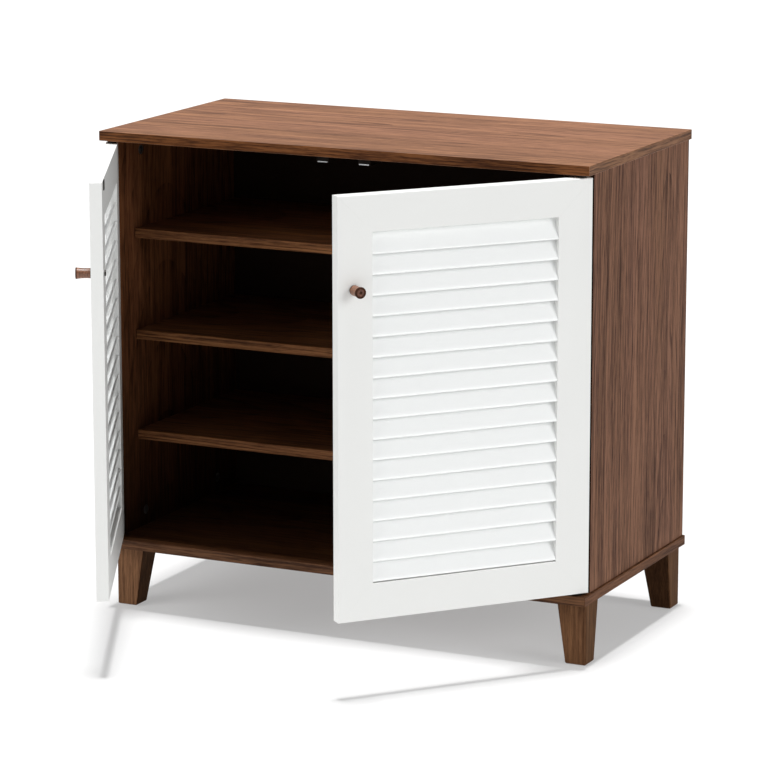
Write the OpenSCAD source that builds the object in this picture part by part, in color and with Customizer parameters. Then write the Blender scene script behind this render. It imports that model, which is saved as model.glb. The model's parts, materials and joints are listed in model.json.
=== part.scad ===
// Two-door louvred shoe cabinet. Millimetres, +Z up, doors on the -Y side.
// Origin on the floor, under the centre of the top and bottom boards.

/* [Carcass] */
// Overall width of the top and bottom boards
board_w = 800; // [780:5:820]
// Overall depth of the top and bottom boards
board_d = 400; // [396:2:410]
// Thickness of the boards, side panels and shelves
board_t = 15; // [15:1:18]
// Clear height between the bottom board and the top board
inner_h = 617; // [600:1:640]
// Height of the underside of the bottom board above the floor
board_z = 96; // [80:1:120]
// Inset of each side panel's outer face from the ends of the boards
side_inset = 3; // [3:1:6]
// Thickness of the hardboard back panel
back_t = 3; // [2.5:0.5:4]

/* [Shelves] */
// Setback of the shelves' front edge from the side panels' front edge
shelf_setback = 44; // [20:1:80]

/* [Legs] */
// Width of a leg where it meets the bottom board
leg_top = 47; // [42:1:50]
// Width of a leg at the floor
leg_foot = 33; // [28:1:36]
// Inset of the legs' outer side faces from the ends of the boards
leg_inset_x = 7; // [6:1:12]
// Inset of the front legs from the front edge of the boards
leg_inset_front = 22; // [18:1:30]
// Inset of the back legs from the back edge of the boards
leg_inset_back = 6; // [4:1:12]

/* [Doors] */
// Angle by which the left door stands open
left_open = 63.5; // [0:0.5:100]
// Angle by which the right door stands open
right_open = 50; // [0:0.5:100]
// Thickness of the door frames
door_t = 18; // [18:1:19]
// Width of the stiles and rails
frame_w = 53; // [48:1:58]
// Clearance between a closed door and the bottom board
gap_bottom = 3.5; // [3.5:0.5:5]
// Clearance between a closed door and the top board
gap_top = 4; // [3.5:0.5:5]

/* [Louvres] */
// Number of slats in each door
slat_count = 17; // [15:1:18]
// Angle between a slat's face and the vertical
slat_tilt = 23; // [20:1:25]
// Thickness of a slat
slat_t = 5; // [4:0.5:5]
// Width of a slat, measured along its tilted face
slat_l = 33; // [30:0.5:33]

/* [Knobs] */
// Length of a knob
knob_len = 23; // [18:1:26]
// Radius of a knob at its front end
knob_r = 8.5; // [8:0.5:11]
// Radius of a knob at the door
knob_base_r = 7.5; // [7:0.5:9]
// Depth of the hollow round a knob's waist
knob_hollow = 0.8; // [0.2:0.1:1.2]

/* [Hidden] */
$fn = 48;

// Cutters run this far past a face, so that no skin is left behind
over = 1;

// Colours of the real materials
walnut_top = [0.66, 0.47, 0.38];
walnut_side = [0.46, 0.33, 0.27];
walnut_shelf = [0.40, 0.28, 0.21];
walnut_leg = [0.40, 0.29, 0.21];
walnut_knob = [0.52, 0.34, 0.25];
hardboard = [0.24, 0.17, 0.12];
paint_frame = [0.90, 0.90, 0.89];
paint_slat = [0.94, 0.95, 0.95];
zinc = [0.62, 0.62, 0.62];
pivot_black = [0.15, 0.14, 0.14];
dark_steel = [0.16, 0.15, 0.15];
beech = [0.80, 0.68, 0.50];
nylon = [0.19, 0.15, 0.13];
catch_brown = [0.20, 0.14, 0.11];
glide_black = [0.12, 0.11, 0.10];

// Levels of the two boards
lower_face = board_z + board_t;
upper_face = lower_face + inner_h;
front_y = -board_d / 2;
back_y = board_d / 2;

// Side panels: the front edge leaves room for the doors' swing
side_setback = 26;
side_x = board_w / 2 - side_inset;
side_in_x = side_x - board_t;
side_front = front_y + side_setback;
side_back = back_y - back_t;

// Doors: the closed front face stands this far behind the boards' front edge
door_recess = 2;
door_front = front_y + door_recess;
door_mid = door_front + door_t / 2;
door_z = lower_face + gap_bottom;
door_h = inner_h - gap_bottom - gap_top;
// Half of the gap between the two closed doors
meeting_half = 1.5;
// Distance of the hinge-side edge of a closed door from the side panel's outer face
hinge_edge_inset = 0.5;
hinge_edge = side_x - hinge_edge_inset;
door_w = hinge_edge - meeting_half;
// Distance of the pivot pins from the hinge-side edge of the door
pin_in = 12.5;
pivot_x = hinge_edge - pin_in;
// Rounding of the rear hinge-side corner, which passes close to the side panel
swing_round = 5;

// Shelves
shelf_front = side_front + shelf_setback;
shelf_back_gap = 2;
shelf_back = side_back - shelf_back_gap;
shelf_pitch = (inner_h - 3 * board_t) / 4 + board_t;
shelf_end_gap = 1.5;
shelf_half = side_in_x - shelf_end_gap;

// Shelf pins
pin_r = 2.5;
pin_in_panel = 8;
pin_out = 9;
pin_collar_r = 4;
pin_collar_t = 1.2;
pin_inset = 40;
pin_front = shelf_front + pin_inset;
pin_back = shelf_back - pin_inset;

// Cam locks sit in the side panels' inner faces and pull bolts in the boards
cam_r = 7.5;
cam_depth = 12;
cam_from_edge = 25;
cam_ys = [-105, 130];
cam_channel_r = 3.8;
cam_cross_l = 8;
cam_cross_w = 1.6;
cam_cross_depth = 2;
bolt_shaft_r = 3;
bolt_head_r = 3.6;
bolt_head_t = 2.5;
bolt_thread_r = 2.5;
bolt_thread_l = 11;
edge_x = side_x - board_t / 2;

// Dowels between the side panels and the boards
dowel_r = 4;
dowel_in_board = 10;
dowel_in_side = 20;
dowel_ys = [-140, 10, 165];

// Back panel nails
nail_r = 0.8;
nail_l = 18;
nail_head_r = 1.75;
nail_head_t = 0.8;
nail_rows = 6;
nail_margin = 30;
back_inset = 2;
back_half = side_x - back_inset;

// Legs
leg_out_x = board_w / 2 - leg_inset_x;
leg_front = front_y + leg_inset_front;
leg_back = back_y - leg_inset_back;
glide_t = 1;
leg_h = board_z - glide_t;

// Hanger bolts and threaded inserts
hanger_r = 4;
hanger_in_leg = 37;
insert_r = 6;
insert_l = 12;

// Nail-on glides
glide_r = 10;
glide_pin_r = 1.25;
glide_pin_l = 12;

// Pivot hinges
pivot_r = 3;
pivot_fit = 0.06;
pivot_in_door = 26;
bush_r = 5;
bush_l = 12;
bush_flange_r = 7;
bush_flange_t = 1.5;
bush_floor_gap = 1;
collar_r = 6.5;
collar_gap = 0.3;

// Magnetic catches under the top board
catch_x = 34;
catch_w = 20;
catch_l = 36;
catch_h = 12;
catch_gap = 2.9;
catch_front = door_front + door_t + catch_gap;
magnet_w = 16;
magnet_h = 1.5;
magnet_l = 12;
magnet_out = 1;
magnet_lift = 0.6;
catch_screw_r = 1.75;
catch_screw_in_board = 9;
catch_screw_head_r = 3.2;
catch_screw_head_t = 2;
catch_screw_ys = [17, 30];

// Strike plates on the back of the doors
strike_w = 12;
strike_h = 14;
strike_t = 1.5;
strike_drop = 0.5;
strike_screw_r = 1.5;
strike_screw_l = 10;
strike_head_r = 2.8;
strike_head_t = 1.3;

// Knobs
knob_from_free = 25;
knob_z = 591;
screw_r = 2;
screw_in_knob = 12;
screw_head_r = 4.2;
screw_head_t = 2.2;
knob_steps = 8;

// Slats
slat_side_gap = 0.05;
slot_depth = 6;
open_low = door_z + frame_w;
open_h = door_h - 2 * frame_w;
open_w = door_w - 2 * frame_w;
slat_rise = slat_l * cos(slat_tilt) + slat_t * sin(slat_tilt);
slat_run = slat_l * sin(slat_tilt) + slat_t * cos(slat_tilt);
slat_end_gap = 0.4;
slat_pitch = (open_h - 2 * slat_end_gap - slat_rise) / (slat_count - 1);

// Dowels across the mitred corners of the door frames
mitre_dowel_r = 3;
mitre_dowel_half = 14;
mitre_dowel_at = 33;

// ---------- small helpers ----------

// Both sides of the cabinet, left first
module both_sides() {
  for (s = [-1, 1]) scale_x(s) children();
}

// Mirror across the YZ plane when s is -1
module scale_x(s) {
  if (s < 0) mirror([1, 0, 0]) children();
  else children();
}

// Round bar along +Z
module bar(r, h) {
  cylinder(r = r, h = h);
}

// Round bar along +X
module bar_x(r, h) {
  rotate([0, 90, 0]) cylinder(r = r, h = h);
}

// Round bar along +Y
module bar_y(r, h) {
  rotate([-90, 0, 0]) cylinder(r = r, h = h);
}

// ---------- carcass joints ----------

// Bores in a board's inner face for the joints to both side panels; dir is +1 for
// a board above the side panels and -1 for one below
module board_joint_bores(z, dir) {
  for (s = [-1, 1]) {
    for (y = cam_ys) translate([s * edge_x, y, z - (dir > 0 ? over : bolt_thread_l)])
      bar(bolt_thread_r, bolt_thread_l + over);
    for (y = dowel_ys) translate([s * edge_x, y, z - (dir > 0 ? over : dowel_in_board)])
      bar(dowel_r, dowel_in_board + over);
  }
}

// The right side panel; the left one is its mirror image
module side_panel() {
  difference() {
    translate([side_in_x, side_front, lower_face])
      cube([board_t, side_back - side_front, inner_h]);
    for (end = [0, 1]) {
      for (y = cam_ys) {
        translate([side_in_x - over, y, cam_z(end)]) bar_x(cam_r, cam_depth + over);
        translate([edge_x, y, end ? cam_z(end) : lower_face - over])
          bar(cam_channel_r, cam_from_edge + over);
      }
      for (y = dowel_ys)
        translate([edge_x, y, end ? upper_face - dowel_in_side : lower_face - over])
          bar(dowel_r, dowel_in_side + over);
    }
    for (k = [1, 2, 3]) for (y = [pin_front, pin_back])
      translate([side_in_x - over, y, shelf_z(k) - pin_r]) bar_x(pin_r, pin_in_panel + over);
    for (i = [0 : nail_rows - 1])
      translate([edge_x, side_back - nail_l, nail_z(i)]) bar_y(nail_r, nail_l + over);
  }
}

// Height of the cam locks at the lower (0) and the upper (1) end of a side panel
function cam_z(end) = end ? upper_face - cam_from_edge : lower_face + cam_from_edge;

// Underside of shelf k, counted from the bottom
function shelf_z(k) = lower_face + k * shelf_pitch - board_t;

// Height of back panel nail i
function nail_z(i) = lower_face + nail_margin + i * (inner_h - 2 * nail_margin) / (nail_rows - 1);

// ---------- carcass ----------

module top_panel() {
  color(walnut_top) difference() {
    translate([-board_w / 2, front_y, upper_face]) cube([board_w, board_d, board_t]);
    board_joint_bores(upper_face, 1);
    for (s = [-1, 1]) {
      translate([s * pivot_x, door_mid, upper_face - over]) bar(bush_r, bush_l + over);
      for (y = catch_screw_ys) translate([s * catch_x, catch_front + y, upper_face - over])
        bar(catch_screw_r, catch_screw_in_board + over);
    }
  }
}

module bottom_panel() {
  color(walnut_side) difference() {
    translate([-board_w / 2, front_y, board_z]) cube([board_w, board_d, board_t]);
    board_joint_bores(lower_face, -1);
    for (s = [-1, 1]) {
      translate([s * pivot_x, door_mid, lower_face - bush_l]) bar(bush_r, bush_l + over);
      for (y = [leg_front + leg_top / 2, leg_back - leg_top / 2])
        translate([s * (leg_out_x - leg_top / 2), y, board_z - over]) bar(insert_r, insert_l + over);
    }
  }
}

module left_side_panel() {
  color(walnut_side) mirror([1, 0, 0]) side_panel();
}

module right_side_panel() {
  color(walnut_side) side_panel();
}

module back_panel() {
  color(hardboard) difference() {
    translate([-back_half, side_back, lower_face]) cube([2 * back_half, back_t, inner_h]);
    for (s = [-1, 1]) for (i = [0 : nail_rows - 1])
      translate([s * edge_x, side_back - over, nail_z(i)]) bar_y(nail_r, back_t + 2 * over);
  }
}

module shelf(k) {
  color(walnut_shelf) translate([-shelf_half, shelf_front, shelf_z(k)])
    cube([2 * shelf_half, shelf_back - shelf_front, board_t]);
}

module shelf_upper() {
  shelf(3);
}

module shelf_middle() {
  shelf(2);
}

module shelf_lower() {
  shelf(1);
}

// ---------- legs ----------

// Leg whose upright outer faces look towards +X and +Y and meet at the origin;
// its two inner faces taper towards the floor
module leg_solid() {
  difference() {
    intersection() {
      translate([0, 0, glide_t]) rotate([90, 0, 0]) linear_extrude(leg_top)
        polygon([[0, 0], [0, leg_h], [-leg_top, leg_h], [-leg_foot, 0]]);
      translate([-leg_top, 0, glide_t]) rotate([90, 0, 90]) linear_extrude(leg_top)
        polygon([[0, 0], [0, leg_h], [-leg_top, leg_h], [-leg_foot, 0]]);
    }
    translate([-leg_top / 2, -leg_top / 2, board_z - hanger_in_leg])
      bar(hanger_r, hanger_in_leg + over);
    translate([-leg_foot / 2, -leg_foot / 2, glide_t - over]) bar(glide_pin_r, glide_pin_l + over);
  }
}

// Place something at the outer corner of a leg; sx and sy are -1 or +1
module at_leg(sx, sy) {
  translate([sx * leg_out_x, sy > 0 ? leg_back : leg_front, 0])
    mirror([sx < 0 ? 1 : 0, 0, 0]) mirror([0, sy < 0 ? 1 : 0, 0]) children();
}

module at_each_leg() {
  for (sx = [-1, 1]) for (sy = [-1, 1]) at_leg(sx, sy) children();
}

module front_left_leg() {
  color(walnut_leg) at_leg(-1, -1) leg_solid();
}

module front_right_leg() {
  color(walnut_leg) at_leg(1, -1) leg_solid();
}

module back_left_leg() {
  color(walnut_leg) at_leg(-1, 1) leg_solid();
}

module back_right_leg() {
  color(walnut_leg) at_leg(1, 1) leg_solid();
}

module leg_bolts() {
  color(zinc) at_each_leg()
    translate([-leg_top / 2, -leg_top / 2, board_z - hanger_in_leg])
      bar(hanger_r, hanger_in_leg + insert_l);
}

module leg_inserts() {
  color(zinc) at_each_leg() translate([-leg_top / 2, -leg_top / 2, board_z])
    difference() {
      bar(insert_r, insert_l);
      translate([0, 0, -over]) bar(hanger_r, insert_l + 2 * over);
    }
}

module leg_glides() {
  color(glide_black) at_each_leg() translate([-leg_foot / 2, -leg_foot / 2, 0]) {
    bar(glide_r, glide_t);
    bar(glide_pin_r, glide_t + glide_pin_l);
  }
}

// ---------- knock-down fittings ----------

// Cam lock with a channel towards the bolt and a cross recess in its visible face
module cam_lock(end) {
  difference() {
    bar_x(cam_r, cam_depth);
    translate([board_t / 2, 0, end ? -bolt_head_r : -cam_r - over])
      bar(cam_channel_r, cam_r + bolt_head_r + over);
    translate([-over, -cam_cross_l / 2, -cam_cross_w / 2])
      cube([over + cam_cross_depth, cam_cross_l, cam_cross_w]);
    translate([-over, -cam_cross_w / 2, -cam_cross_l / 2])
      cube([over + cam_cross_depth, cam_cross_w, cam_cross_l]);
  }
}

module cam_locks() {
  color(zinc) both_sides() for (y = cam_ys) for (end = [0, 1])
    translate([side_in_x, y, cam_z(end)]) cam_lock(end);
}

// Bolt screwed into a board, with its head inside the cam lock
module cam_bolt() {
  translate([0, 0, -cam_from_edge]) bar(bolt_head_r, bolt_head_t);
  translate([0, 0, -cam_from_edge]) bar(bolt_shaft_r, cam_from_edge);
  bar(bolt_thread_r, bolt_thread_l);
}

module cam_bolts() {
  color(zinc) both_sides() for (y = cam_ys) {
    translate([edge_x, y, upper_face]) cam_bolt();
    translate([edge_x, y, lower_face]) mirror([0, 0, 1]) cam_bolt();
  }
}

module carcass_dowels() {
  color(beech) both_sides() for (y = dowel_ys) {
    translate([edge_x, y, upper_face - dowel_in_side]) bar(dowel_r, dowel_in_side + dowel_in_board);
    translate([edge_x, y, lower_face - dowel_in_board]) bar(dowel_r, dowel_in_side + dowel_in_board);
  }
}

module shelf_pins() {
  color(zinc) both_sides() for (k = [1, 2, 3]) for (y = [pin_front, pin_back])
    translate([side_in_x, y, shelf_z(k) - pin_r]) {
      translate([-pin_out, 0, 0]) bar_x(pin_r, pin_out + pin_in_panel);
      translate([-pin_collar_t, 0, 0]) bar_x(pin_collar_r, pin_collar_t);
    }
}

module back_nails() {
  color(dark_steel) both_sides() for (i = [0 : nail_rows - 1])
    translate([edge_x, side_back, nail_z(i)]) {
      translate([0, -nail_l, 0]) bar_y(nail_r, nail_l + back_t);
      translate([0, back_t, 0]) bar_y(nail_head_r, nail_head_t);
    }
}

// ---------- pivot bushes ----------

// Blind flanged bush, flange at z 0 and body towards +Z
module bush() {
  difference() {
    union() {
      bar(bush_r, bush_l);
      translate([0, 0, -bush_flange_t]) bar(bush_flange_r, bush_flange_t);
    }
    translate([0, 0, -bush_flange_t - over])
      bar(pivot_r + pivot_fit, bush_flange_t + over + bush_l - bush_floor_gap);
  }
}

module upper_bush(s) {
  color(nylon) translate([s * pivot_x, door_mid, upper_face]) bush();
}

module lower_bush(s) {
  color(nylon) translate([s * pivot_x, door_mid, lower_face]) mirror([0, 0, 1]) bush();
}

module left_upper_bush() {
  upper_bush(-1);
}

module left_lower_bush() {
  lower_bush(-1);
}

module right_upper_bush() {
  upper_bush(1);
}

module right_lower_bush() {
  lower_bush(1);
}

// ---------- magnetic catches ----------

// Catch housing with its front face at y 0 and its top at z 0
module catch_housing() {
  difference() {
    translate([-catch_w / 2, 0, -catch_h]) cube([catch_w, catch_l, catch_h]);
    translate([-magnet_w / 2, -over, -catch_h + magnet_lift])
      cube([magnet_w, magnet_l + over, magnet_h]);
    for (y = catch_screw_ys) translate([0, y, 0]) {
      translate([0, 0, -catch_h - over]) bar(catch_screw_r, catch_h + 2 * over);
      translate([0, 0, -catch_h - over]) bar(catch_screw_head_r, catch_screw_head_t + over);
    }
  }
}

module catch_magnet() {
  translate([-magnet_w / 2, -magnet_out, -catch_h + magnet_lift])
    cube([magnet_w, magnet_l + magnet_out, magnet_h]);
}

// Place something at a catch; s is -1 for the left one and +1 for the right one
module at_catch(s) {
  translate([s * catch_x, catch_front, upper_face]) children();
}

module left_catch() {
  color(catch_brown) at_catch(-1) catch_housing();
}

module right_catch() {
  color(catch_brown) at_catch(1) catch_housing();
}

module left_catch_magnet() {
  color(zinc) at_catch(-1) catch_magnet();
}

module right_catch_magnet() {
  color(zinc) at_catch(1) catch_magnet();
}

module catch_screws() {
  color(zinc) for (s = [-1, 1]) at_catch(s) for (y = catch_screw_ys) translate([0, y, -catch_h]) {
    bar(catch_screw_r, catch_h + catch_screw_in_board);
    bar(catch_screw_head_r, catch_screw_head_t);
  }
}

// ---------- doors ----------
// Each door is drawn closed and left-handed: the pivot axis is the local Z axis, the
// door runs towards +X, and its front faces -Y.

door_x0 = -pin_in;
door_x1 = door_w - pin_in;
door_top = door_z + door_h;
knob_x = door_x1 - knob_from_free;
strike_x = pivot_x - catch_x;
strike_mid_z = door_top - strike_drop - strike_h / 2;

// Hang a left-handed door piece on its pivots at the door's opening angle
module hang(s) {
  if (s < 0) translate([-pivot_x, door_mid, 0]) rotate([0, 0, -left_open]) children();
  else translate([pivot_x, door_mid, 0]) rotate([0, 0, right_open]) mirror([1, 0, 0]) children();
}

// Flat board standing in the XZ plane, centred on the door's thickness
module upright(points) {
  translate([0, door_t / 2, 0]) rotate([90, 0, 0]) linear_extrude(door_t) polygon(points);
}

// Pivot bores, mitre dowel bores and screw bores, cut in every frame member they cross
module door_bores() {
  translate([0, 0, door_top - pivot_in_door]) bar(pivot_r, pivot_in_door + over);
  translate([0, 0, door_z - over]) bar(pivot_r, pivot_in_door + over);
  door_dowels();
  translate([knob_x, -door_t / 2 - over, knob_z]) bar_y(screw_r, door_t + 2 * over);
  translate([strike_x, door_t / 2 - strike_screw_l, strike_mid_z])
    bar_y(strike_screw_r, strike_screw_l + over);
}

// One dowel across each mitre
module door_dowels() {
  for (right = [0, 1]) for (top = [0, 1]) {
    x = right ? door_x1 - mitre_dowel_at : door_x0 + mitre_dowel_at;
    z = top ? door_top - mitre_dowel_at : door_z + mitre_dowel_at;
    translate([x, 0, z]) rotate([0, right == top ? -45 : 45, 0])
      translate([0, 0, -mitre_dowel_half]) bar(mitre_dowel_r, 2 * mitre_dowel_half);
  }
}

// Louvre slat of a given length, grown by grow on every side of its cross-section
module slat(i, x0, length, grow) {
  z0 = open_low + slat_end_gap + slat_t * sin(slat_tilt) + i * slat_pitch;
  translate([x0, -slat_run / 2, z0]) rotate([-slat_tilt, 0, 0])
    translate([0, -grow, -grow]) cube([length, slat_t + 2 * grow, slat_l + 2 * grow]);
}

// Slots in the stiles that hold the slats' ends
module slat_slots() {
  for (i = [0 : slat_count - 1])
    slat(i, door_x0 + frame_w - slot_depth, open_w + 2 * slot_depth, slat_side_gap);
}

module hinge_stile() {
  difference() {
    upright([
      [door_x0, door_z], [door_x0, door_top],
      [door_x0 + frame_w, door_top - frame_w], [door_x0 + frame_w, door_z + frame_w]
    ]);
    slat_slots();
    door_bores();
    swing_relief();
  }
}

// Rounds the rear corner of the hinge side over the door's whole height
module swing_relief() {
  difference() {
    translate([door_x0 - over, door_t / 2 - swing_round, door_z - over])
      cube([swing_round + over, swing_round + over, door_h + 2 * over]);
    translate([door_x0 + swing_round, door_t / 2 - swing_round, door_z - 2 * over])
      bar(swing_round, door_h + 4 * over);
  }
}

module free_stile() {
  difference() {
    upright([
      [door_x1, door_z], [door_x1, door_top],
      [door_x1 - frame_w, door_top - frame_w], [door_x1 - frame_w, door_z + frame_w]
    ]);
    slat_slots();
    door_bores();
  }
}

module top_rail() {
  difference() {
    upright([
      [door_x0, door_top], [door_x1, door_top],
      [door_x1 - frame_w, door_top - frame_w], [door_x0 + frame_w, door_top - frame_w]
    ]);
    door_bores();
    swing_relief();
  }
}

module bottom_rail() {
  difference() {
    upright([
      [door_x0, door_z], [door_x1, door_z],
      [door_x1 - frame_w, door_z + frame_w], [door_x0 + frame_w, door_z + frame_w]
    ]);
    door_bores();
    swing_relief();
  }
}

module slats() {
  for (i = [0 : slat_count - 1])
    slat(i, door_x0 + frame_w - slot_depth, open_w + 2 * slot_depth, 0);
}

// Radius of the knob at a fraction t of its length, from the door outwards
function knob_radius(t) = knob_base_r + (knob_r - knob_base_r) * t - knob_hollow * sin(180 * t);

module knob() {
  translate([knob_x, -door_t / 2, knob_z]) rotate([90, 0, 0]) difference() {
    rotate_extrude() polygon(concat(
      [[0, knob_len], [0, 0]],
      [for (i = [0 : knob_steps]) [knob_radius(i / knob_steps), knob_len * i / knob_steps]]
    ));
    translate([0, 0, -over]) bar(screw_r, screw_in_knob + over);
  }
}

module knob_screw() {
  translate([knob_x, 0, knob_z]) {
    translate([0, -door_t / 2 - screw_in_knob, 0]) bar_y(screw_r, door_t + screw_in_knob);
    translate([0, door_t / 2, 0]) bar_y(screw_head_r, screw_head_t);
  }
}

module strike_plate() {
  difference() {
    translate([strike_x - strike_w / 2, door_t / 2, strike_mid_z - strike_h / 2])
      cube([strike_w, strike_t, strike_h]);
    translate([strike_x, door_t / 2 - over, strike_mid_z])
      bar_y(strike_head_r, strike_t + 2 * over);
  }
}

module strike_screw() {
  translate([strike_x, door_t / 2, strike_mid_z]) {
    translate([0, -strike_screw_l, 0]) bar_y(strike_screw_r, strike_screw_l);
    bar_y(strike_head_r, strike_head_t);
  }
}

// How far the pins reach into the bushes, past the boards' inner faces
pin_end_gap = 0.5;
pin_reach = bush_l - bush_floor_gap - pin_end_gap;

module upper_pin() {
  translate([0, 0, door_top - pivot_in_door])
    bar(pivot_r, pivot_in_door + gap_top + pin_reach);
  translate([0, 0, door_top]) bar(collar_r, gap_top - bush_flange_t - collar_gap);
}

module lower_pin() {
  collar_t = gap_bottom - bush_flange_t - collar_gap;
  translate([0, 0, lower_face - pin_reach]) bar(pivot_r, pivot_in_door + gap_bottom + pin_reach);
  translate([0, 0, door_z - collar_t]) bar(collar_r, collar_t);
}

module left_hinge_stile() {
  color(paint_frame) hang(-1) hinge_stile();
}

module left_free_stile() {
  color(paint_frame) hang(-1) free_stile();
}

module left_top_rail() {
  color(paint_frame) hang(-1) top_rail();
}

module left_bottom_rail() {
  color(paint_frame) hang(-1) bottom_rail();
}

module left_slats() {
  color(paint_slat) hang(-1) slats();
}

module left_door_dowels() {
  color(beech) hang(-1) door_dowels();
}

module left_knob() {
  color(walnut_knob) hang(-1) knob();
}

module left_knob_screw() {
  color(dark_steel) hang(-1) knob_screw();
}

module left_strike_plate() {
  color(dark_steel) hang(-1) strike_plate();
}

module left_strike_screw() {
  color(zinc) hang(-1) strike_screw();
}

module left_upper_pin() {
  color(pivot_black) hang(-1) upper_pin();
}

module left_lower_pin() {
  color(pivot_black) hang(-1) lower_pin();
}

module right_hinge_stile() {
  color(paint_frame) hang(1) hinge_stile();
}

module right_free_stile() {
  color(paint_frame) hang(1) free_stile();
}

module right_top_rail() {
  color(paint_frame) hang(1) top_rail();
}

module right_bottom_rail() {
  color(paint_frame) hang(1) bottom_rail();
}

module right_slats() {
  color(paint_slat) hang(1) slats();
}

module right_door_dowels() {
  color(beech) hang(1) door_dowels();
}

module right_knob() {
  color(walnut_knob) hang(1) knob();
}

module right_knob_screw() {
  color(dark_steel) hang(1) knob_screw();
}

module right_strike_plate() {
  color(dark_steel) hang(1) strike_plate();
}

module right_strike_screw() {
  color(zinc) hang(1) strike_screw();
}

module right_upper_pin() {
  color(pivot_black) hang(1) upper_pin();
}

module right_lower_pin() {
  color(pivot_black) hang(1) lower_pin();
}

top_panel();
bottom_panel();
left_side_panel();
right_side_panel();
back_panel();
shelf_upper();
shelf_middle();
shelf_lower();
front_left_leg();
front_right_leg();
back_left_leg();
back_right_leg();
leg_bolts();
leg_inserts();
leg_glides();
cam_locks();
cam_bolts();
carcass_dowels();
shelf_pins();
back_nails();
left_upper_bush();
left_lower_bush();
right_upper_bush();
right_lower_bush();
left_catch();
right_catch();
left_catch_magnet();
right_catch_magnet();
catch_screws();
left_hinge_stile();
left_free_stile();
left_top_rail();
left_bottom_rail();
left_slats();
left_door_dowels();
left_knob();
left_knob_screw();
left_strike_plate();
left_strike_screw();
left_upper_pin();
left_lower_pin();
right_hinge_stile();
right_free_stile();
right_top_rail();
right_bottom_rail();
right_slats();
right_door_dowels();
right_knob();
right_knob_screw();
right_strike_plate();
right_strike_screw();
right_upper_pin();
right_lower_pin();
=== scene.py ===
import json
import math

import bmesh
import bpy
from mathutils import Matrix, Vector


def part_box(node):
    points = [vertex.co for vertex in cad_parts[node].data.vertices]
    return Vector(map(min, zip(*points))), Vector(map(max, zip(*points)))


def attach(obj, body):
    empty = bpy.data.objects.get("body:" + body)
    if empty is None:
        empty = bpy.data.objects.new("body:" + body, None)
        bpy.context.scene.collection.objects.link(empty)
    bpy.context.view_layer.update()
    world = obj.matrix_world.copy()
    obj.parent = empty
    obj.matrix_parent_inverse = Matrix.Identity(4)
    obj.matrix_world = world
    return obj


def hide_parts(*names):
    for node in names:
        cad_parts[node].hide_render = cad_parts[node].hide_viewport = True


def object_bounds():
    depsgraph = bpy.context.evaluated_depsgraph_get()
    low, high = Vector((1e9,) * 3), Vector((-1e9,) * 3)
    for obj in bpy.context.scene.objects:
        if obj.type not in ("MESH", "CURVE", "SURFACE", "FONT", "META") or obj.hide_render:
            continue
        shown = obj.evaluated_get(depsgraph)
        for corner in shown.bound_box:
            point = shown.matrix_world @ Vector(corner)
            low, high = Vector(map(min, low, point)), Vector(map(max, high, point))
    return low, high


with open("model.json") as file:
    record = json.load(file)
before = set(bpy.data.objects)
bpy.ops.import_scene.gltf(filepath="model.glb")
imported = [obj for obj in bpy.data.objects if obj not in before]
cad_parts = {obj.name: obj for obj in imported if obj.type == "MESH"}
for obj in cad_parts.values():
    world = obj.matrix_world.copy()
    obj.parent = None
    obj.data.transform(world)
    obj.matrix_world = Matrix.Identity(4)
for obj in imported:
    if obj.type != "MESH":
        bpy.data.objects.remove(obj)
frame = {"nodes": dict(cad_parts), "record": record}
nodes = frame["nodes"]
behaviour = frame["record"]["behaviour"]
bodies = {n: b for b, ns in behaviour["bodies"].items() for n in ns}
cad_low, cad_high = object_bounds()

X, Y, Z = 0, 1, 2
# Two places nearer to each other than this, in metres, count as one
SAME = 2e-5
# Edges of a bore's rim are all shorter than this, in metres
RIM_EDGE = 0.012
# An edge is sharp where its faces turn by more than this, in degrees
SHARP = 40
# Faces that turn by less than this, in degrees, are shaded as one smooth surface
SMOOTH = 38
# A face follows an axis where its normal's part along it is larger than this
FACING = 0.75


# ---------------------------------------------------------------- node helpers

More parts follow.
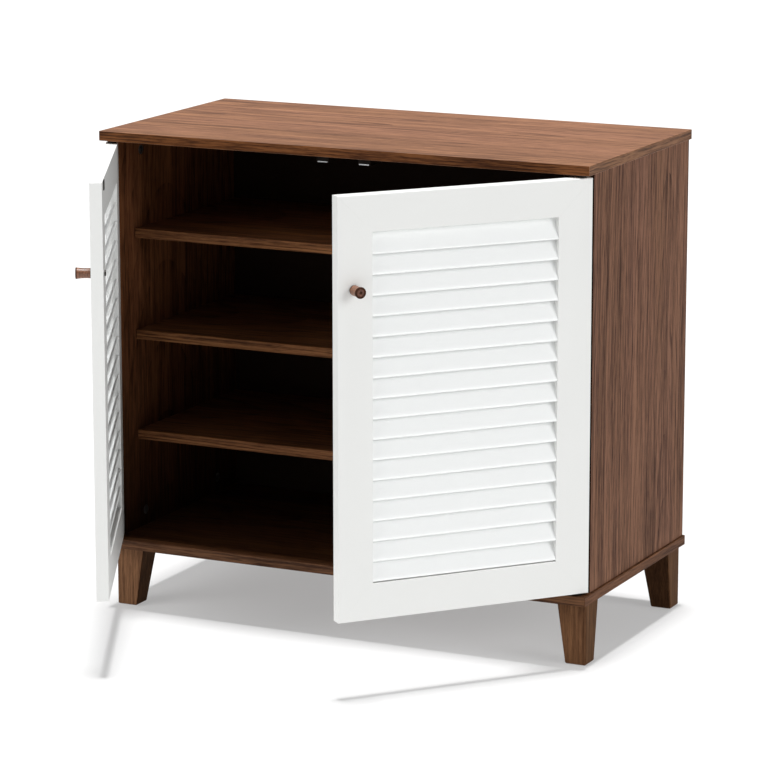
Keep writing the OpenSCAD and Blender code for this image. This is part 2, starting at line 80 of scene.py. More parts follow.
class Tree:
    """Short calls for building one material's node tree."""

    def __init__(self, tree):
        self.tree = tree
        self.x = 0

    def node(self, kind, **values):
        n = self.tree.nodes.new(kind)
        n.location = (self.x, 0)
        self.x += 180
        for key, value in values.items():
            setattr(n, key, value)
        return n

    def link(self, a, b):
        self.tree.links.new(a, b)

    def put(self, socket, value):
        if isinstance(value, bpy.types.NodeSocket):
            self.link(value, socket)
        else:
            socket.default_value = value

    def math(self, op, a, b=0.0, c=0.0, clamp=False):
        n = self.node("ShaderNodeMath", operation=op, use_clamp=clamp)
        for socket, value in zip(n.inputs, (a, b, c)):
            self.put(socket, value)
        return n.outputs[0]

    def vmath(self, op, a, b):
        n = self.node("ShaderNodeVectorMath", operation=op)
        self.put(n.inputs[0], a)
        self.put(n.inputs[1], b)
        return n.outputs[0]

    def noise(self, vector, scale=1.0, detail=4.0, rough=0.5, distortion=0.0):
        n = self.node("ShaderNodeTexNoise")
        self.put(n.inputs["Vector"], vector)
        n.inputs["Scale"].default_value = scale
        n.inputs["Detail"].default_value = detail
        n.inputs["Roughness"].default_value = rough
        n.inputs["Distortion"].default_value = distortion
        return n.outputs[0]

    def ramp(self, fac, stops):
        n = self.node("ShaderNodeValToRGB")
        elements = n.color_ramp.elements
        while len(elements) < len(stops):
            elements.new(0.5)
        for e, (place, colour) in zip(elements, stops):
            e.position = place
            e.color = (*colour, 1.0)
        self.put(n.inputs[0], fac)
        return n.outputs[0]

    def remap(self, value, lo, hi, to_lo=0.0, to_hi=1.0):
        n = self.node("ShaderNodeMapRange")
        for socket, v in zip(n.inputs[:5], (value, lo, hi, to_lo, to_hi)):
            self.put(socket, v)
        return n.outputs[0]

    def mix(self, fac, a, b, blend="MIX"):
        n = self.node("ShaderNodeMix", data_type="RGBA", blend_type=blend)
        self.put(n.inputs[0], fac)
        self.put(n.inputs[6], a)
        self.put(n.inputs[7], b)
        return n.outputs[2]

    def bump(self, height, strength, distance):
        n = self.node("ShaderNodeBump")
        n.inputs["Strength"].default_value = strength
        n.inputs["Distance"].default_value = distance
        self.put(n.inputs["Height"], height)
        return n.outputs[0]


def new_material(name):
    m = bpy.data.materials.new(name)
    m.use_nodes = True
    m.node_tree.nodes.clear()
    t = Tree(m.node_tree)
    out = t.node("ShaderNodeOutputMaterial")
    shader = t.node("ShaderNodeBsdfPrincipled")
    t.link(shader.outputs[0], out.inputs[0])
    coord = t.node("ShaderNodeTexCoord")
    return m, t, shader, coord.outputs["Object"]


def scaled(colour, factor):
    return tuple(min(1.0, c * factor) for c in colour)


# For each direction of the grain: the axis along it, the axis across it and the one left
GRAIN_AXES = {"X": (X, Y, Z), "Y": (Y, X, Z), "Z": (Z, Y, X)}


def grain_vector(t, coord, along, offset):
    """Object coordinates, moved by offset and turned so that their X runs along the grain."""
    sep = t.node("ShaderNodeSeparateXYZ")
    t.link(t.vmath("ADD", coord, offset), sep.inputs[0])
    com = t.node("ShaderNodeCombineXYZ")
    for i, axis in enumerate(GRAIN_AXES[along]):
        t.link(sep.outputs[axis], com.inputs[i])
    return com.outputs[0]


# ---------------------------------------------------------------- kinds of material

def shades(colour):
    """Dark, middle and light tone of one wood; the dark tone is a little redder."""
    r, g, b = colour
    deep, redder = 0.34, 0.88
    light, cooler = 1.75, 1.04
    return ((r * deep, g * deep * redder, b * deep * redder), colour,
            (r * light, g * light * cooler, b * light * cooler))


def walnut(name, along, colour, heart, offset=(0, 0, 0), taper=0.05, ring=0.006, figure=1.0,
           ringiness=1.0, rough=0.5, gloss=0.35, painted_shade=None):
    """Walnut: cone-shaped growth rings around the heart, streaks, fibres and pores.

    heart is where the rings' axis passes, in metres, on the two axes across the grain. taper is
    the slope of the cones, and ring the distance between two rings. figure and ringiness set the
    contrast of the whole pattern and of the rings in it. painted_shade holds the place along the
    grain where the painted shade is darkest, the place where it ends, and its darkest factor."""
    m, t, shader, coord = new_material(name)
    sep = t.node("ShaderNodeSeparateXYZ")
    t.link(grain_vector(t, coord, along, offset), sep.inputs[0])
    run, across, through = sep.outputs

    def stretched(lengthwise, crosswise, detail=3.0, roughness=0.55, side=across):
        """Noise with one frequency along the grain and another across it."""
        com = t.node("ShaderNodeCombineXYZ")
        t.link(run, com.inputs[0])
        t.link(side, com.inputs[1])
        t.link(through, com.inputs[2])
        place = t.vmath("MULTIPLY", com.outputs[0], (lengthwise, crosswise, crosswise))
        return t.noise(place, 1.0, detail, roughness)

    def wander(lengthwise, crosswise, width):
        """How far the fibres stray to either side of a straight line."""
        return t.math("MULTIPLY_ADD", stretched(lengthwise, crosswise, 2.0), width, -width / 2)

    # Growth rings: the sharp dark edge of each ring's late wood, stronger in some stretches
    _, side_axis, deep_axis = GRAIN_AXES[along]
    sway = wander(1.7, 8.0, 0.030)
    ripple = wander(9.0, 70.0, 0.0036)
    bent = t.math("ADD", t.math("ADD", across, sway), ripple)
    aside = t.math("SUBTRACT", bent, heart[0] + offset[side_axis])
    below = t.math("SUBTRACT", through, heart[1] + offset[deep_axis])
    radius = t.math("SQRT", t.math("MULTIPLY_ADD", aside, aside, t.math("MULTIPLY", below, below)))
    radius = t.math("MULTIPLY_ADD", run, taper, radius)
    late = t.math("POWER", t.math("FRACT", t.math("DIVIDE", radius, ring)), 5.0)
    late = t.math("MULTIPLY", late, t.remap(stretched(3.0, 60.0), 0.42, 0.66))

    # Figure: layers from broad bands to fibres, each with its weight
    streak = stretched(3.2, 125.0, 3.0, 0.6, bent)
    fibre = stretched(55.0, 1300.0, 2.0)
    layers = [
        (stretched(1.3, 22.0, 2.0, 0.5, bent), 0.20),
        (stretched(2.6, 60.0, 2.0, 0.5, bent), 0.18),
        (streak, 0.26),
        (stretched(8.0, 250.0, 3.0, 0.6, bent), 0.48),
        (stretched(22.0, 500.0, 2.0, 0.6, bent), 0.42),
        (fibre, 0.34),
    ]
    value = 0.5
    for layer, weight in layers:
        centred = t.math("SUBTRACT", value, 0.5 * weight * figure)
        value = t.math("MULTIPLY_ADD", layer, weight * figure, centred)
    lifted = t.math("ADD", value, 0.03 * figure * ringiness)
    value = t.math("MULTIPLY_ADD", late, -0.24 * figure * ringiness, lifted)

    # Colour: three tones, slow drift towards yellow, and painted shade towards the low end of the
    # grain
    deep, mid, light = shades(colour)
    tone = t.ramp(value, [(0.08, deep), (0.5, mid), (0.92, light)])
    drift = t.remap(stretched(1.1, 9.0, 2.0), 0.35, 0.65)
    yellowed = (1.0, 1.02, 0.88, 1)
    tone = t.mix(t.math("MULTIPLY", drift, 0.6), tone, yellowed, "MULTIPLY")
    # Painted shade: the colour darkens towards the low end of the grain
    if painted_shade:
        start, unshaded, least = painted_shade
        shade_factor = t.remap(t.math("MULTIPLY_ADD", streak, 0.10, run), start, unshaded, least, 1.0)
        tone = t.mix(1.0, tone, shade_factor, "MULTIPLY")

    # Pores: short dark dashes, fainter where the streaks are light
    dash = t.remap(stretched(110.0, 1700.0, 1.0), 0.58, 0.70)
    pore = t.math("MULTIPLY", dash, t.remap(streak, 0.35, 0.65, 1.0, 0.3), clamp=True)
    pore_tone = (*scaled(deep, 0.55), 1)
    t.link(t.mix(t.math("MULTIPLY", pore, 0.5), tone, pore_tone), shader.inputs["Base Color"])
    t.link(t.math("MULTIPLY_ADD", fibre, 0.18, rough - 0.09), shader.inputs["Roughness"])
    relief = t.math("MULTIPLY_ADD", pore, -0.8, t.math("MULTIPLY", fibre, 0.5))
    t.link(t.bump(relief, 0.35, 0.0003), shader.inputs["Normal"])
    shader.inputs["Specular IOR Level"].default_value = gloss
    return m


def lacquer(name, colour, rough):
    """Sprayed lacquer on wood: faint orange peel, faint tone drift and slightly dulled patches."""
    m, t, shader, coord = new_material(name)
    drift = t.noise(coord, 6.0, 3.0, 0.5)
    fine = t.noise(coord, 420.0, 2.0, 0.5)
    peel = t.noise(coord, 900.0, 2.0, 0.45)
    tint = 0.012
    low = scaled(colour, 1 - tint * 1.6)
    high = scaled(colour, 1 + tint * 0.5)
    mottle = t.math("MULTIPLY_ADD", fine, 0.3, t.math("MULTIPLY", drift, 0.7))
    t.link(t.ramp(mottle, [(0.32, low), (0.66, high)]), shader.inputs["Base Color"])
    t.link(t.remap(drift, 0.3, 0.7, rough - 0.04, rough + 0.05), shader.inputs["Roughness"])
    height = t.math("MULTIPLY_ADD", fine, 0.6, peel)
    t.link(t.bump(height, 0.10, 0.00025), shader.inputs["Normal"])
    shader.inputs["Specular IOR Level"].default_value = 0.35
    return m


def metal(name, colour, rough, plating=0.05):
    """Plated steel: fine drawn scratches, cloudy plating."""
    m, t, shader, coord = new_material(name)
    v = grain_vector(t, coord, "Z", (0.13, 0.07, 0.31))
    cloud = t.noise(v, 160.0, 3.0, 0.6)
    lines = t.noise(t.vmath("MULTIPLY", v, (180.0, 5200.0, 5200.0)), 1.0, 2.0, 0.6)
    low = scaled(colour, 1 - plating * 3)
    high = scaled(colour, 1 + plating)
    t.link(t.ramp(cloud, [(0.35, low), (0.65, high)]), shader.inputs["Base Color"])
    t.link(t.math("MULTIPLY_ADD", lines, 0.22, rough - 0.1), shader.inputs["Roughness"])
    t.link(t.bump(lines, 0.06, 0.0001), shader.inputs["Normal"])
    shader.inputs["Metallic"].default_value = 1.0
    return m


def plastic(name, colour, rough, gloss=0.5):
    """Moulded plastic with a fine spark-eroded texture and slight tone drift."""
    m, t, shader, coord = new_material(name)
    spark = t.noise(coord, 1900.0, 2.0, 0.6)
    drift = t.noise(coord, 70.0, 2.0, 0.5)
    tones = [(0.3, scaled(colour, 0.9)), (0.7, scaled(colour, 1.06))]
    t.link(t.ramp(drift, tones), shader.inputs["Base Color"])
    t.link(t.remap(spark, 0.3, 0.7, rough - 0.06, rough + 0.06), shader.inputs["Roughness"])
    t.link(t.bump(spark, 0.2, 0.0001), shader.inputs["Normal"])
    shader.inputs["Specular IOR Level"].default_value = gloss
    return m


def beech(name):
    """Pale dowel wood with short flecks and faint bands along it."""
    m, t, shader, coord = new_material(name)
    v = grain_vector(t, coord, "Z", (0, 0, 0))
    fleck = t.noise(t.vmath("MULTIPLY", v, (160.0, 1400.0, 1400.0)), 1.0, 2.0, 0.5)
    band = t.noise(t.vmath("MULTIPLY", v, (12.0, 220.0, 220.0)), 1.0, 3.0, 0.5)
    value = t.math("MULTIPLY_ADD", fleck, 0.4, t.math("MULTIPLY", band, 0.6))
    tones = [(0.35, (0.42, 0.26, 0.13)), (0.65, (0.62, 0.44, 0.25))]
    t.link(t.ramp(value, tones), shader.inputs["Base Color"])
    t.link(t.bump(fleck, 0.3, 0.0002), shader.inputs["Normal"])
    shader.inputs["Roughness"].default_value = 0.65
    return m


def hardboard(name, low, high, relief):
    """One face of a dark hardboard sheet, with its pressed fibres just visible."""
    m, t, shader, coord = new_material(name)
    fibre = t.noise(coord, 520.0, 5.0, 0.65, distortion=1.2)
    cloud = t.noise(coord, 9.0, 3.0, 0.5)
    value = t.math("MULTIPLY_ADD", fibre, 0.6, t.math("MULTIPLY", cloud, 0.4))
    t.link(t.ramp(value, [(0.35, low), (0.65, high)]), shader.inputs["Base Color"])
    t.link(t.remap(fibre, 0.3, 0.7, 0.55, 0.75), shader.inputs["Roughness"])
    t.link(t.bump(fibre, relief, 0.0002), shader.inputs["Normal"])
    shader.inputs["Specular IOR Level"].default_value = 0.1
    return m


# ---------------------------------------------------------------- the cabinet's materials

top_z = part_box("top_panel")[1].z
side_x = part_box("right_side_panel")[1].x


def front_band(name, colour, height, shift, figure):
    """Edge band along a board's front and back; height is that of its rings' axis."""
    return walnut(name, "X", colour, (-0.25, height), (shift, 0, 0), taper=0.02, ring=0.0045,
                  figure=figure, ringiness=1.4, gloss=0.08, rough=0.55)


def end_band(name, colour, height, shift, gloss):
    """Edge band across a board's ends; height is that of its rings' axis."""
    return walnut(name, "Y", colour, (0.45, height), (0, shift, 0), taper=0.02, ring=0.0045,
                  figure=3.0, gloss=gloss)


def side_face(name, colour, heart, offset, taper, figure):
    """Outer face of a side panel."""
    return walnut(name, "Z", colour, heart, offset, taper=taper, ring=0.009, figure=figure,
                  ringiness=0.8, gloss=0.04, rough=0.6)


def side_band(name, colour, gloss, figure, painted_shade=None):
    """Edge band up the front of a side panel."""
    return walnut(name, "Z", colour, (0.03, side_x + 0.15), (0, 0, 0.4), ring=0.0045,
                  gloss=gloss, rough=0.6, figure=figure, painted_shade=painted_shade)


def leg_wood(name, colour, shift, gloss, rough=0.6):
    return walnut(name, "Z", colour, (-0.9, 0.25), (0, 0, shift), taper=0.02, ring=0.007,
                  figure=1.8, ringiness=0.4, gloss=gloss, rough=rough)


def knob_wood(name, colour, rough, gloss):
    return walnut(name, "Y", colour, (0.9, 0.3), taper=0.02, ring=0.003, figure=2.2, rough=rough,
                  gloss=gloss)


# The top face: a lighter copy of the sides' walnut, as painted sheen and light on the top
mat_top = walnut("walnut_top_face_painted_sheen", "X", (0.222, 0.100, 0.055), (0.04, top_z - 0.06), (0.31, 0, 0),
                 taper=0.035, ring=0.010, figure=2.2, rough=0.45)
mat_top_front = front_band("walnut_top_band", (0.110, 0.038, 0.013), top_z - 0.20, 0.9, 3.6)
mat_top_end = end_band("walnut_end_band", (0.128, 0.060, 0.033), top_z - 0.20, 0.2, 0.05)
mat_base_front = front_band("walnut_base_band", (0.086, 0.038, 0.019), -0.20, 0.2, 3.2)
mat_base_end = end_band("walnut_base_end_band", (0.092, 0.040, 0.021), -0.20, 0.6, 0.03)
mat_side = side_face("walnut_side_face", (0.128, 0.061, 0.039), (0.115, side_x - 0.055),
                     (0, 0, 0), 0.09, 3.1)
mat_side_left = side_face("walnut_left_side_face", (0.126, 0.061, 0.039), (-0.04, -side_x + 0.055),
                          (0.4, 0.3, 0.9), 0.08, 3.0)
# The left side panel's front band: darker towards the bottom, as painted shade
mat_side_front = side_band("walnut_side_band", (0.130, 0.044, 0.020), 0.05, 3.0, (0.55, 0.95, 0.35))
# The right side panel's front band: near black, painted shade from the open door beside it
mat_side_shaded = side_band("walnut_side_band_painted_shade", (0.012, 0.006, 0.004), 0.02, 2.4)
# Inner faces of the side panels: darker, redder walnut than outside and darker still towards the
# bottom, as painted shade
mat_inner = walnut("walnut_inner_face_painted_shade", "Z", (0.114, 0.042, 0.018), (-0.03, side_x + 0.12),
                   (0.02, 0.31, 0.7), gloss=0.05, rough=0.6, figure=3.2, ringiness=0.7,
                   painted_shade=(0.88, 1.25, 0.20))
# The bottom board's faces: much darker walnut than the top board's, as painted shade inside and
# under the cabinet
mat_base_top = walnut("walnut_base_face_painted_shade", "X", (0.062, 0.024, 0.010), (0.03, -0.15), (0.6, 0, 0),
                      gloss=0.06, rough=0.6, figure=2.6)
# The shelves: darker, redder walnut than outside, as painted shade inside the cabinet
mat_shelf = walnut("walnut_shelf_face_painted_shade", "X", (0.115, 0.045, 0.018), (0.05, -0.4), (0.2, 0, 0),
                   gloss=0.08, rough=0.6, figure=2.6)
mat_shelf_front = front_band("walnut_shelf_band", (0.130, 0.052, 0.021), -0.45, 0.4, 3.4)
mat_leg = leg_wood("walnut_leg", (0.118, 0.054, 0.026), 0.2, 0.05)
# The left legs: a lighter copy of the leg walnut, as painted light from the left
mat_leg_painted_light = leg_wood("walnut_leg_painted_light", (0.146, 0.070, 0.036), 0.2, 0.05)
# The right legs' right-facing faces: a darker copy of the leg walnut, as painted shade
mat_leg_side_painted_shade = leg_wood("walnut_leg_side_painted_shade", (0.086, 0.040, 0.019), 0.4, 0.03)
# Inward faces of the legs: a much darker copy of the leg walnut, as painted shade under the cabinet
mat_leg_inner = leg_wood("walnut_leg_inner_painted_shade", (0.046, 0.020, 0.009), 0.6, 0.03, 0.65)
mat_knob = knob_wood("walnut_knob", (0.185, 0.078, 0.044), 0.38, 0.5)
mat_knob_end = knob_wood("walnut_knob_end", (0.125, 0.048, 0.031), 0.42, 0.3)
# Much darker walnut at the knob's two ends, on its front rim and in its centre dot
mat_knob_dark = knob_wood("walnut_knob_dark", (0.050, 0.017, 0.008), 0.45, 0.1)
mat_frame = lacquer("lacquer_frame", (0.785, 0.79, 0.775), 0.42)
mat_slat = lacquer("lacquer_slat", (0.905, 0.92, 0.915), 0.40)
mat_zinc = metal("zinc_plate", (0.62, 0.62, 0.63), 0.34)
# The cam locks' castings: dark grey instead of zinc's own tone, as painted shade inside the cabinet
mat_casting = metal("zinc_casting", (0.20, 0.20, 0.20), 0.5, plating=0.08)
mat_dark = metal("black_oxide", (0.055, 0.050, 0.048), 0.40)
mat_pivot = metal("pivot_black", (0.030, 0.028, 0.027), 0.55)
mat_bright = metal("bright_screw", (0.90, 0.90, 0.90), 0.45)
mat_nail = metal("nail_steel", (0.30, 0.29, 0.28), 0.42)
mat_pole = metal("pole_plate", (0.48, 0.48, 0.49), 0.26)
mat_nylon = plastic("nylon", (0.014, 0.009, 0.007), 0.6, gloss=0.08)
mat_catch = plastic("catch_plastic", (0.012, 0.008, 0.006), 0.6, gloss=0.08)
mat_glide = plastic("glide_plastic", (0.016, 0.015, 0.014), 0.55)
mat_beech = beech("beech")
mat_back = hardboard("hardboard_smooth", (0.014, 0.007, 0.004), (0.028, 0.014, 0.008), 0.25)
mat_back_rough = hardboard("hardboard_rough", (0.050, 0.028, 0.017), (0.125, 0.074, 0.046), 0.6)


# ---------------------------------------------------------------- fittings that keep their CAD shape

FITTINGS = {
    "leg_bolts": mat_zinc, "leg_inserts": mat_zinc, "leg_glides": mat_glide,
    "cam_locks": mat_casting, "cam_bolts": mat_zinc, "carcass_dowels": mat_beech,
    "shelf_pins": mat_zinc, "back_nails": mat_nail, "catch_screws": mat_zinc,
}
SIDE_FITTINGS = {
    "upper_bush": mat_nylon, "lower_bush": mat_nylon, "catch": mat_catch,
    "catch_magnet": mat_pole, "door_dowels": mat_beech, "knob_screw": mat_dark,
    "strike_plate": mat_dark, "strike_screw": mat_bright, "upper_pin": mat_pivot,
    "lower_pin": mat_pivot,
}
for side in ("left", "right"):
    FITTINGS.update({side + "_" + part: mat for part, mat in SIDE_FITTINGS.items()})

for node, mat in FITTINGS.items():
    mesh = nodes[node].data
    mesh.materials.clear()
    mesh.materials.append(mat)
    for p in mesh.polygons:
        p.material_index = 0


# ---------------------------------------------------------------- mesh helpers

def weighted_normals(o):
    """Corner normals led by the largest faces, so flat faces stay flat beside rounded edges."""
    mesh = o.data
    limit = math.cos(math.radians(SMOOTH))
    normals = [p.normal.copy() for p in mesh.polygons]
    around = [[] for _ in mesh.vertices]
    for p in mesh.polygons:
        for v in p.vertices:
            around[v].append(p.index)
    corners = [None] * len(mesh.loops)
    for p in mesh.polygons:
        for i in p.loop_indices:
            total = Vector()
            for k in around[mesh.loops[i].vertex_index]:
                if normals[k].dot(normals[p.index]) > limit:
                    total += normals[k] * mesh.polygons[k].area
            corners[i] = total.normalized() if total.length > 0 else normals[p.index]
    mesh.normals_split_custom_set(corners)


def from_cad(node):
    """The CAD node's mesh as one clean solid: shared corners, flat faces in one piece."""
    bm = bmesh.new()
    bm.from_mesh(nodes[node].data)
    bmesh.ops.remove_doubles(bm, verts=bm.verts, dist=1e-6)
    bmesh.ops.dissolve_limit(bm, angle_limit=math.radians(0.6), verts=bm.verts, edges=bm.edges)
    return bm


def transform(bm, matrix):
    bmesh.ops.transform(bm, matrix=matrix, verts=bm.verts)


def extent(bm):
    """Lowest and highest corner of the mesh's bounding box."""
    return [Vector([pick(v.co[i] for v in bm.verts) for i in range(3)]) for pick in (min, max)]


def lies_on(edge, axis, place):
    return all(abs(v.co[axis] - place) < SAME for v in edge.verts)


def face_angle(edge):
    """Angle between an edge's two faces, in degrees; 0 where it hasn't two faces."""
    return math.degrees(edge.calc_face_angle(0.0))


def outer_edges(bm):
    """Edges that lie on two sides of the mesh's bounding box."""
    sides = [(axis, corner[axis]) for corner in extent(bm) for axis in (X, Y, Z)]
    return [e for e in bm.edges if sum(lies_on(e, axis, place) for axis, place in sides) >= 2]


def bevel(bm, edges, width, segments=3):
    bmesh.ops.bevel(bm, geom=edges, offset=width, segments=segments, profile=0.5,
                    affect="EDGES", clamp_overlap=True)


def replace_node(node, bm, mats):
    """Makes the finished piece that stands for a CAD node."""
    for f in bm.faces:
        f.smooth = True
    name = node + "_piece"
    mesh = bpy.data.meshes.new(name)
    bm.to_mesh(mesh)
    bm.free()
    for m in mats:
        mesh.materials.append(m)
    o = bpy.data.objects.new(name, mesh)
    bpy.context.scene.collection.objects.link(o)
    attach(o, bodies[node])
    weighted_normals(o)
    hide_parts(node)


# ---------------------------------------------------------------- boards

def by_normal(bm, rules):
    """Gives each face the index of the first rule whose axis its normal follows, or else 0."""
    for f in bm.faces:
        f.material_index = 0
        for axis, sign, index in rules:
            if f.normal[axis] * sign > FACING:
                f.material_index = index
                break


def board(node, mats, rules, rounding=0.0011):
    bm = from_cad(node)
    bevel(bm, outer_edges(bm), rounding)
    bm.normal_update()
    by_normal(bm, rules)
    replace_node(node, bm, mats)


BANDED_ALL_ROUND = [(Y, 1, 1), (Y, -1, 1), (X, 1, 2), (X, -1, 2)]
board("top_panel", [mat_top, mat_top_front, mat_top_end], BANDED_ALL_ROUND)
board("bottom_panel", [mat_base_top, mat_base_front, mat_base_end], BANDED_ALL_ROUND)
board("left_side_panel", [mat_side_left, mat_inner, mat_side_front], [(X, 1, 1), (Y, -1, 2)])
board("right_side_panel", [mat_side, mat_inner, mat_side_shaded], [(X, -1, 1), (Y, -1, 2)])
for node in ("shelf_upper", "shelf_middle", "shelf_lower"):
    board(node, [mat_shelf, mat_shelf_front], [(Y, -1, 1)])
board("back_panel", [mat_back, mat_back_rough], [(Y, 1, 1)], 0.0004)


# ---------------------------------------------------------------- legs

LEG_ROUNDING = 0.0025


def on_foot(edge, z):
    """True for an edge of a leg's square foot, and false for the rim of the bore in it."""
    if not lies_on(edge, Z, z) or edge.calc_length() < RIM_EDGE:
        return False
    a, b = (v.co for v in edge.verts)
    return abs(a.x - b.x) < 1e-5 or abs(a.y - b.y) < 1e-5


def upright(edge, height):
    """True for one of the four corners that run up the whole leg."""
    a, b = (v.co for v in edge.verts)
    return abs(a.z - b.z) > 0.9 * height and face_angle(edge) > SHARP


def leg(node):
    bm = from_cad(node)
    lo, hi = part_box(node)
    corners = [e for e in bm.edges if upright(e, hi.z - lo.z)]
    foot = [e for e in bm.edges if on_foot(e, lo.z)]
    bevel(bm, corners + foot, LEG_ROUNDING, 4)
    bm.normal_update()
    on_left = hi.x < 0
    in_front = hi.y < 0
    # Inward faces take painted shade, the right legs' right-facing faces a darker copy as painted
    # shade, the left legs a lighter copy as painted light
    by_normal(bm, [(X, 1 if on_left else -1, 1), (Y, 1 if in_front else -1, 1), (X, 1, 2)])
    replace_node(node, bm, [mat_leg_painted_light if on_left else mat_leg, mat_leg_inner, mat_leg_side_painted_shade])


for node in ("front_left_leg", "front_right_leg", "back_left_leg", "back_right_leg"):
    leg(node)


# ---------------------------------------------------------------- doors

DOOR_ROUNDING = 0.0012
MITRE_GROOVE = 0.0004
# The edges along a slat are longer than this, and all its others are shorter
SLAT_EDGE = 0.25
joints = {j["child"]: j for j in behaviour["joints"]}


def closed_frame(door):
    """Matrix from the row frame to one in which the door is closed and its pivot is the origin.

    A door's joint is at its lower limit when the door is closed."""
    joint = joints[door]
    pivot = Matrix.Translation(Vector(joint["pos_m"]))
    shut = Matrix.Rotation(math.radians(joint["range_deg"][0]), 4, Vector(joint["axis"]))
    return shut @ pivot.inverted()


def mitred(edge):
    """True for a long edge at 45 degrees in a closed door's plane."""
    run = edge.verts[1].co - edge.verts[0].co
    return abs(abs(run.x) - abs(run.z)) < 1e-4 and abs(run.x) > 0.02


def door_member(node):
    """A stile or rail: rounded edges, and a fine groove where the mitres meet."""
    to = closed_frame(bodies[node])
    bm = from_cad(node)
    transform(bm, to)
    lo, hi = extent(bm)
    edges = [e for e in bm.edges
             if e.calc_length() > RIM_EDGE and face_angle(e) > SHARP and not mitred(e)
             and (lies_on(e, Y, lo.y) or lies_on(e, Y, hi.y))]
    bevel(bm, edges, DOOR_ROUNDING)
    bevel(bm, [e for e in bm.edges if mitred(e) and face_angle(e) > SHARP], MITRE_GROOVE, 1)
    transform(bm, to.inverted())
    bm.normal_update()
    replace_node(node, bm, [mat_frame])


def slats(node):
    bm = from_cad(node)
    bevel(bm, [e for e in bm.edges if e.calc_length() > SLAT_EDGE], DOOR_ROUNDING, 4)
    replace_node(node, bm, [mat_slat])


for side in ("left", "right"):
    for part in ("hinge_stile", "free_stile", "top_rail", "bottom_rail"):
        door_member(side + "_" + part)
    slats(side + "_slats")


# ---------------------------------------------------------------- knobs

# A knob's radii at its front end and at the door, and the depth of its hollow, in millimetres
KNOB_FRONT, KNOB_BASE, KNOB_HOLLOW = 8.5, 7.5, 0.8
KNOB_ROUNDING = 0.0007
KNOB_STEPS = 64
KNOB_RINGS = 32
# Shares of a knob's length: each rounded end, and where the dark bands at its ends stop and start
ROUNDED_END = 0.05
DARK_BASE, DARK_FRONT = 0.10, 0.93


def knob_profile(r_front, length):
    """Radius, distance from the door and material of each ring, from the door to the front."""
    wood, dark_band, end = 0, 1, 2
    r_base = r_front * KNOB_BASE / KNOB_FRONT
    hollow = r_front * KNOB_HOLLOW / KNOB_FRONT
    profile = [(0.0, 0.0, wood), (r_base - KNOB_ROUNDING, 0.0, wood)]
    for i in range(KNOB_RINGS + 1):
        s = i / KNOB_RINGS
        inset = KNOB_ROUNDING * (1 - min(1.0, min(s, 1 - s) / ROUNDED_END)) ** 2
        r = r_base + (r_front - r_base) * s - hollow * math.sin(math.pi * s) - inset
        profile.append((r, length * s, dark_band if s < DARK_BASE or s > DARK_FRONT else wood))
    # The front end: a dark rim with a groove inside it, the plain face and a dark dot
    for share, sunk, index in ((0.90, 0.0, dark_band), (0.68, 0.0002, dark_band), (0.64, 0.0008, dark_band),
                               (0.58, 0.0003, end), (0.26, 0.0001, end), (0.20, 0.0005, dark_band),
                               (0.0, 0.0007, dark_band)):
        profile.append((r_front * share, length - sunk, index))
    return profile


def turned(profile, base):
    """Mesh of a profile turned about the line that runs forwards, to -Y, from base."""
    bm = bmesh.new()
    rings = []
    for r, h, _ in profile:
        angles = [2 * math.pi * k / KNOB_STEPS for k in range(KNOB_STEPS)] if r else [0.0]
        rings.append([bm.verts.new((base.x + r * math.cos(a), base.y - h, base.z + r * math.sin(a)))
                      for a in angles])
    for a, b, (_, _, index) in zip(rings, rings[1:], profile[1:]):
        for k in range(KNOB_STEPS):
            n = (k + 1) % KNOB_STEPS
            if len(a) == 1:
                face = bm.faces.new((a[0], b[k], b[n]))
            elif len(b) == 1:
                face = bm.faces.new((a[k], b[0], a[n]))
            else:
                face = bm.faces.new((a[k], b[k], b[n], a[n]))
            face.material_index = index
    bmesh.ops.recalc_face_normals(bm, faces=bm.faces)
    return bm


def knob(node):
    to = closed_frame(bodies[node])
    cad = from_cad(node)
    transform(cad, to)
    lo, hi = extent(cad)
    cad.free()
    mid = (lo + hi) / 2
    bm = turned(knob_profile((hi.x - lo.x) / 2, hi.y - lo.y), Vector((mid.x, hi.y, mid.z)))
    transform(bm, to.inverted())
    replace_node(node, bm, [mat_knob, mat_knob_dark, mat_knob_end])


for side in ("left", "right"):
    knob(side + "_knob")


# ---------------------------------------------------------------- studio

# Half the floor's width, and how far it lies below the feet, in metres
FLOOR_HALF = 30
FLOOR_GAP = 0.0002


def paper():
    """White backdrop paper; its own faint glow keeps it white away from the shadow."""
    m, t, shader, coord = new_material("floor_paper")
    soft = t.noise(coord, 1.5, 2.0, 0.5)
    tones = [(0.3, (0.455, 0.455, 0.455)), (0.7, (0.465, 0.465, 0.465))]
    t.link(t.ramp(soft, tones), shader.inputs["Base Color"])
    shader.inputs["Roughness"].default_value = 0.9
    shader.inputs["Specular IOR Level"].default_value = 0.1
    shader.inputs["Emission Color"].default_value = (1, 1, 1, 1)
    shader.inputs["Emission Strength"].default_value = 0.35
    return m


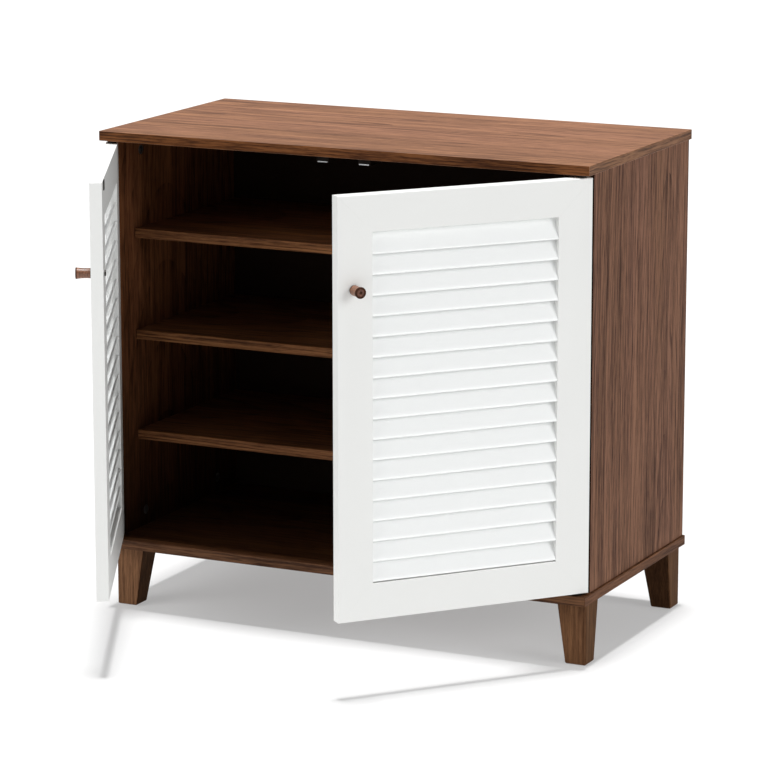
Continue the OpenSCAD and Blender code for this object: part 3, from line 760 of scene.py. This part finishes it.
def floor():
    bm = bmesh.new()
    bmesh.ops.create_grid(bm, x_segments=8, y_segments=8, size=FLOOR_HALF)
    mesh = bpy.data.meshes.new("floor")
    bm.to_mesh(mesh)
    bm.free()
    mesh.materials.append(paper())
    o = bpy.data.objects.new("floor", mesh)
    o.location = (0, 0, cad_low.z - FLOOR_GAP)
    bpy.context.scene.collection.objects.link(o)


def sun(name, azimuth, elevation, strength, spread):
    """Distant soft source; azimuth is measured from the front towards the right."""
    data = bpy.data.lights.new(name, "SUN")
    data.energy = strength
    data.angle = math.radians(spread)
    o = bpy.data.objects.new(name, data)
    bpy.context.scene.collection.objects.link(o)
    az, el = math.radians(azimuth), math.radians(elevation)
    towards = Vector((math.sin(az) * math.cos(el), -math.cos(az) * math.cos(el), math.sin(el)))
    o.rotation_euler = (-towards).to_track_quat("-Z", "Y").to_euler()


def surroundings():
    """Even white light from all round."""
    world = bpy.data.worlds.new("studio")
    world.use_nodes = True
    background = world.node_tree.nodes["Background"]
    background.inputs["Color"].default_value = (1, 1, 1, 1)
    background.inputs["Strength"].default_value = 0.20
    bpy.context.scene.world = world


def camera(place, yaw, pitch, roll, lens):
    """yaw turns the view left from straight back, and pitch tips it down, both in radians."""
    data = bpy.data.cameras.new("camera")
    data.sensor_width = 36.0
    data.lens = lens
    data.clip_start = 0.1
    data.clip_end = 100
    o = bpy.data.objects.new("camera", data)
    bpy.context.scene.collection.objects.link(o)
    o.location = place
    ahead = Vector((-math.sin(yaw) * math.cos(pitch), math.cos(yaw) * math.cos(pitch),
                    -math.sin(pitch)))
    level = ahead.to_track_quat("-Z", "Y")
    o.rotation_mode = "QUATERNION"
    o.rotation_quaternion = level @ Matrix.Rotation(roll, 4, "Z").to_quaternion()
    bpy.context.scene.camera = o


floor()
sun("overhead", 180, 89, 4.05, 8)
sun("key", 84, 20, 1.18, 30)
sun("fill", -35, 28, 1.2, 40)
surroundings()
camera((2.3679, -4.9343, 1.5407), yaw=0.4507, pitch=0.2140, roll=-0.0008, lens=171.6)
bpy.context.scene.view_settings.view_transform = "Standard"
bpy.context.scene.view_settings.look = "None"
